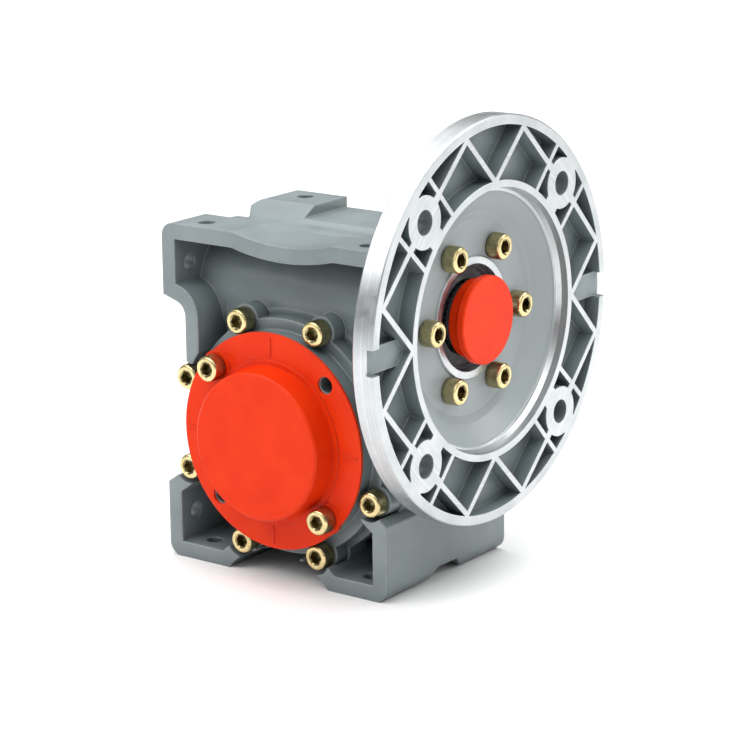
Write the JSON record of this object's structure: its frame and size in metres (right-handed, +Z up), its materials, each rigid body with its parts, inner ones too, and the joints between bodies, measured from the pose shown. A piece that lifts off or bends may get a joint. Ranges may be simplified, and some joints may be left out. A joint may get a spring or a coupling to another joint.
{
  "type": "worm gearbox",
  "caption": "Right-angle worm gearbox with a round motor flange, a hollow keyed output shaft under a bolted cap, and feet on the casing.",
  "frame": {"origin": "centre of the output bore, on the middle plane of the casing", "axes": "+X along the worm towards the motor flange, +Y along the output bore to its open side, +Z up from the feet to the worm"},
  "size_m": [0.166, 0.2, 0.235],
  "materials": {
    "casing": "satin grey-green paint on cast aluminium",
    "bare_aluminium": "machined face on a die casting",
    "orange_plastic": "moulded satin",
    "zinc_screw": "yellow zinc plated",
    "seal_rubber": "matte",
    "gasket": "matte fibre sheet",
    "spring_steel": "phosphated",
    "bearing_steel": "ground",
    "ball_steel": "polished",
    "cage_steel": "pressed",
    "cast_iron": "turned",
    "bronze": "hobbed bronze",
    "hardened_steel": "ground"
  },
  "bodies": {
    "case": {"housing": "casing", "output_cover": "casing", "cover_o_ring": "seal_rubber", "cover_screws": "zinc_screw", "input_flange": "bare_aluminium", "input_gasket": "gasket", "flange_screws": "zinc_screw", "output_seal_cover_side": "seal_rubber", "output_seal_far_side": "seal_rubber", "input_seal": "seal_rubber", "rear_circlip": "spring_steel", "rear_closing_cap": "seal_rubber", "output_cap": "orange_plastic", "cap_screws": "zinc_screw", "cover_side_bearing_outer_ring": "bearing_steel", "far_side_bearing_outer_ring": "bearing_steel", "input_bearing_outer_ring": "bearing_steel", "rear_bearing_outer_ring": "bearing_steel"},
    "output": {"output_shaft": "cast_iron", "worm_wheel_rim": "bronze", "cover_side_bearing_inner_ring": "bearing_steel", "far_side_bearing_inner_ring": "bearing_steel"},
    "worm": {"worm_shaft": "hardened_steel", "worm_circlip": "spring_steel", "input_bearing_inner_ring": "bearing_steel", "rear_bearing_inner_ring": "bearing_steel"},
    "plug": {"input_plug": "orange_plastic"},
    "cover_side_rollers": {"cover_side_bearing_cage": "cage_steel", "cover_side_bearing_balls": "ball_steel"},
    "far_side_rollers": {"far_side_bearing_cage": "cage_steel", "far_side_bearing_balls": "ball_steel"},
    "input_rollers": {"input_bearing_cage": "cage_steel", "input_bearing_balls": "ball_steel"},
    "rear_rollers": {"rear_bearing_cage": "cage_steel", "rear_bearing_balls": "ball_steel"}
  },
  "joints": [
    {"name": "output_spin", "type": "hinge", "parent": "case", "child": "output", "pos_m": [0, 0, 0], "axis": [0, 1, 0], "continuous": true},
    {"name": "worm_spin", "type": "hinge", "parent": "case", "child": "worm", "pos_m": [0, 0, 0.063], "axis": [1, 0, 0], "continuous": true},
    {"name": "cover_side_cage_roll", "type": "hinge", "parent": "case", "child": "cover_side_rollers", "pos_m": [0, -0.035, 0], "axis": [0, 1, 0], "continuous": true},
    {"name": "far_side_cage_roll", "type": "hinge", "parent": "case", "child": "far_side_rollers", "pos_m": [0, 0.035, 0], "axis": [0, 1, 0], "continuous": true},
    {"name": "input_cage_roll", "type": "hinge", "parent": "case", "child": "input_rollers", "pos_m": [0.0645, 0, 0.063], "axis": [1, 0, 0], "continuous": true},
    {"name": "rear_cage_roll", "type": "hinge", "parent": "case", "child": "rear_rollers", "pos_m": [-0.051, 0, 0.063], "axis": [1, 0, 0], "continuous": true},
    {"name": "plug_pull", "type": "slide", "parent": "worm", "child": "plug", "axis": [1, 0, 0], "range_m": [0, 0.06]}
  ],
  "couplings": [
    {"joint": "worm_spin", "follows": "output_spin", "ratio": -15},
    {"joint": "cover_side_cage_roll", "follows": "output_spin", "ratio": 0.4248},
    {"joint": "far_side_cage_roll", "follows": "output_spin", "ratio": 0.4248},
    {"joint": "input_cage_roll", "follows": "output_spin", "ratio": -6.5333},
    {"joint": "rear_cage_roll", "follows": "output_spin", "ratio": -5.747}
  ]
}
